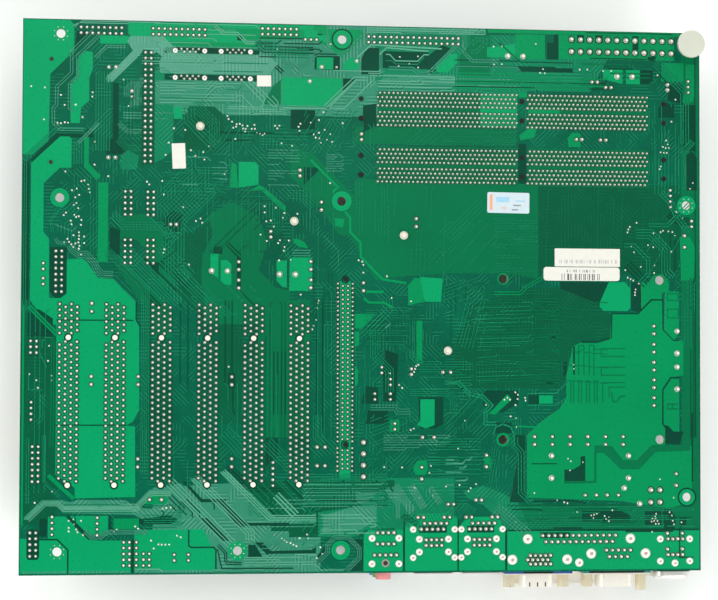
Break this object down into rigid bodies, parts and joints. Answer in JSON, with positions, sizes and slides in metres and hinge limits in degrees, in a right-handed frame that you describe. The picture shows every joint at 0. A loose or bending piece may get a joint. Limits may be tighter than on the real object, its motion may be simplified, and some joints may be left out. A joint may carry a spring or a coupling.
{
  "type": "industrial motherboard",
  "caption": "ATX industrial motherboard lying solder side up, with expansion slots, memory sockets, heatsinks and rear connectors beneath.",
  "frame": {"origin": "centre of the rear left case hole (as seen from the solder side) at the solder face", "axes": "+X along the board's long edge, from the slot side to the processor side; +Y from the rear panel edge to the front edge; +Z out of the solder face"},
  "size_m": [0.3048, 0.2531, 0.0446],
  "materials": {
    "board_laminate": "green solder mask over glass epoxy, bare routed edges",
    "standoff_nylon": "moulded natural nylon",
    "tin_solder": "tin solder, satin",
    "chip_package": "chip substrate with polished die",
    "heatsink_aluminium": "extruded and anodised",
    "push_pin_plastic": "moulded nylon",
    "spring_steel": "drawn wire",
    "socket_plastic": "moulded liquid crystal polymer",
    "socket_steel": "nickel plated pressing",
    "lever_steel": "plated wire",
    "power_header_plastic": "moulded natural nylon",
    "header_plastic": "moulded, fine satin",
    "housing_plastic": "moulded, fine satin",
    "pink_plastic": "moulded",
    "green_plastic": "moulded",
    "shield_steel": "tinned sheet",
    "shell_nickel": "nickel plated pressing",
    "blue_plastic": "moulded",
    "teal_plastic": "moulded",
    "burgundy_plastic": "moulded",
    "screw_brass": "nickel plated, turned hexagon bar",
    "can_sleeve": "printed sleeve over an aluminium can",
    "choke_copper": "wound enamelled wire",
    "moulding_compound": "moulded epoxy",
    "cell_steel": "pressed stainless",
    "slot_plastic": "moulded",
    "dimm_plastic": "moulded",
    "latch_plastic": "moulded"
  },
  "bodies": {
    "board": {"circuit_board": "board_laminate", "corner_standoff": "standoff_nylon", "solder_joints": "tin_solder", "northbridge_chip": "chip_package", "southbridge_chip": "chip_package", "northbridge_heatsink": "heatsink_aluminium", "southbridge_heatsink": "heatsink_aluminium", "heatsink_push_pins": "push_pin_plastic", "heatsink_springs": "spring_steel", "cpu_socket_body": "socket_plastic", "cpu_socket_frame": "socket_steel", "atx_power_connector": "power_header_plastic", "cpu_power_connector": "power_header_plastic", "drive_power_connector": "power_header_plastic", "ide_connector": "header_plastic", "floppy_connector": "header_plastic", "sata_connectors": "header_plastic", "pin_headers": "header_plastic", "card_socket": "header_plastic", "pcie_slot": "header_plastic", "audio_stack": "housing_plastic", "mic_jack_sleeve": "pink_plastic", "line_jack_sleeves": "green_plastic", "lan_usb_shield_1": "shield_steel", "lan_usb_shield_2": "shield_steel", "lan_usb_inserts": "header_plastic", "d_sub_housing": "housing_plastic", "d_sub_shells": "shell_nickel", "vga_port_insert": "blue_plastic", "serial_port_insert": "teal_plastic", "parallel_port_insert": "burgundy_plastic", "jack_screws": "screw_brass", "ps2_housing": "housing_plastic", "ps2_shield": "shell_nickel", "capacitors": "can_sleeve", "power_chokes": "choke_copper", "power_transistors": "moulding_compound", "logic_chips": "moulding_compound", "coin_cell_holder": "header_plastic", "coin_cell": "cell_steel", "pci_slot_1": "slot_plastic", "pci_slot_2": "slot_plastic", "pci_slot_3": "slot_plastic", "pci_slot_4": "slot_plastic", "pci_slot_5": "slot_plastic", "pci_slot_6": "slot_plastic", "dimm_socket_1": "dimm_plastic", "dimm_socket_2": "dimm_plastic", "dimm_socket_3": "dimm_plastic", "dimm_socket_4": "dimm_plastic"},
    "latch_1_left": {"dimm_latch_1_left": "latch_plastic"},
    "latch_1_right": {"dimm_latch_1_right": "latch_plastic"},
    "latch_2_left": {"dimm_latch_2_left": "latch_plastic"},
    "latch_2_right": {"dimm_latch_2_right": "latch_plastic"},
    "latch_3_left": {"dimm_latch_3_left": "latch_plastic"},
    "latch_3_right": {"dimm_latch_3_right": "latch_plastic"},
    "latch_4_left": {"dimm_latch_4_left": "latch_plastic"},
    "latch_4_right": {"dimm_latch_4_right": "latch_plastic"},
    "load_plate": {"cpu_load_plate": "socket_steel"},
    "load_lever": {"cpu_load_lever": "lever_steel"}
  },
  "joints": [
    {"name": "dimm_latch_1_left_hinge", "type": "hinge", "parent": "board", "child": "latch_1_left", "pos_m": [0.13429, 0.20094, -0.00577], "axis": [0, 1, 0], "range_deg": [0, 40]},
    {"name": "dimm_latch_1_right_hinge", "type": "hinge", "parent": "board", "child": "latch_1_right", "pos_m": [0.27009, 0.20094, -0.00577], "axis": [0, -1, 0], "range_deg": [0, 40]},
    {"name": "dimm_latch_2_left_hinge", "type": "hinge", "parent": "board", "child": "latch_2_left", "pos_m": [0.13429, 0.19224, -0.00577], "axis": [0, 1, 0], "range_deg": [0, 40]},
    {"name": "dimm_latch_2_right_hinge", "type": "hinge", "parent": "board", "child": "latch_2_right", "pos_m": [0.27009, 0.19224, -0.00577], "axis": [0, -1, 0], "range_deg": [0, 40]},
    {"name": "dimm_latch_3_left_hinge", "type": "hinge", "parent": "board", "child": "latch_3_left", "pos_m": [0.13429, 0.17554, -0.00577], "axis": [0, 1, 0], "range_deg": [0, 40]},
    {"name": "dimm_latch_3_right_hinge", "type": "hinge", "parent": "board", "child": "latch_3_right", "pos_m": [0.27009, 0.17554, -0.00577], "axis": [0, -1, 0], "range_deg": [0, 40]},
    {"name": "dimm_latch_4_left_hinge", "type": "hinge", "parent": "board", "child": "latch_4_left", "pos_m": [0.13429, 0.16694, -0.00577], "axis": [0, 1, 0], "range_deg": [0, 40]},
    {"name": "dimm_latch_4_right_hinge", "type": "hinge", "parent": "board", "child": "latch_4_right", "pos_m": [0.27009, 0.16694, -0.00577], "axis": [0, -1, 0], "range_deg": [0, 40]},
    {"name": "load_plate_hinge", "type": "hinge", "parent": "board", "child": "load_plate", "pos_m": [0.20749, 0.08484, -0.00557], "axis": [0, 1, 0], "range_deg": [0, 105]},
    {"name": "load_lever_hinge", "type": "hinge", "parent": "board", "child": "load_lever", "pos_m": [0.25899, 0.08484, -0.00577], "axis": [0, -1, 0], "range_deg": [0, 120]}
  ]
}
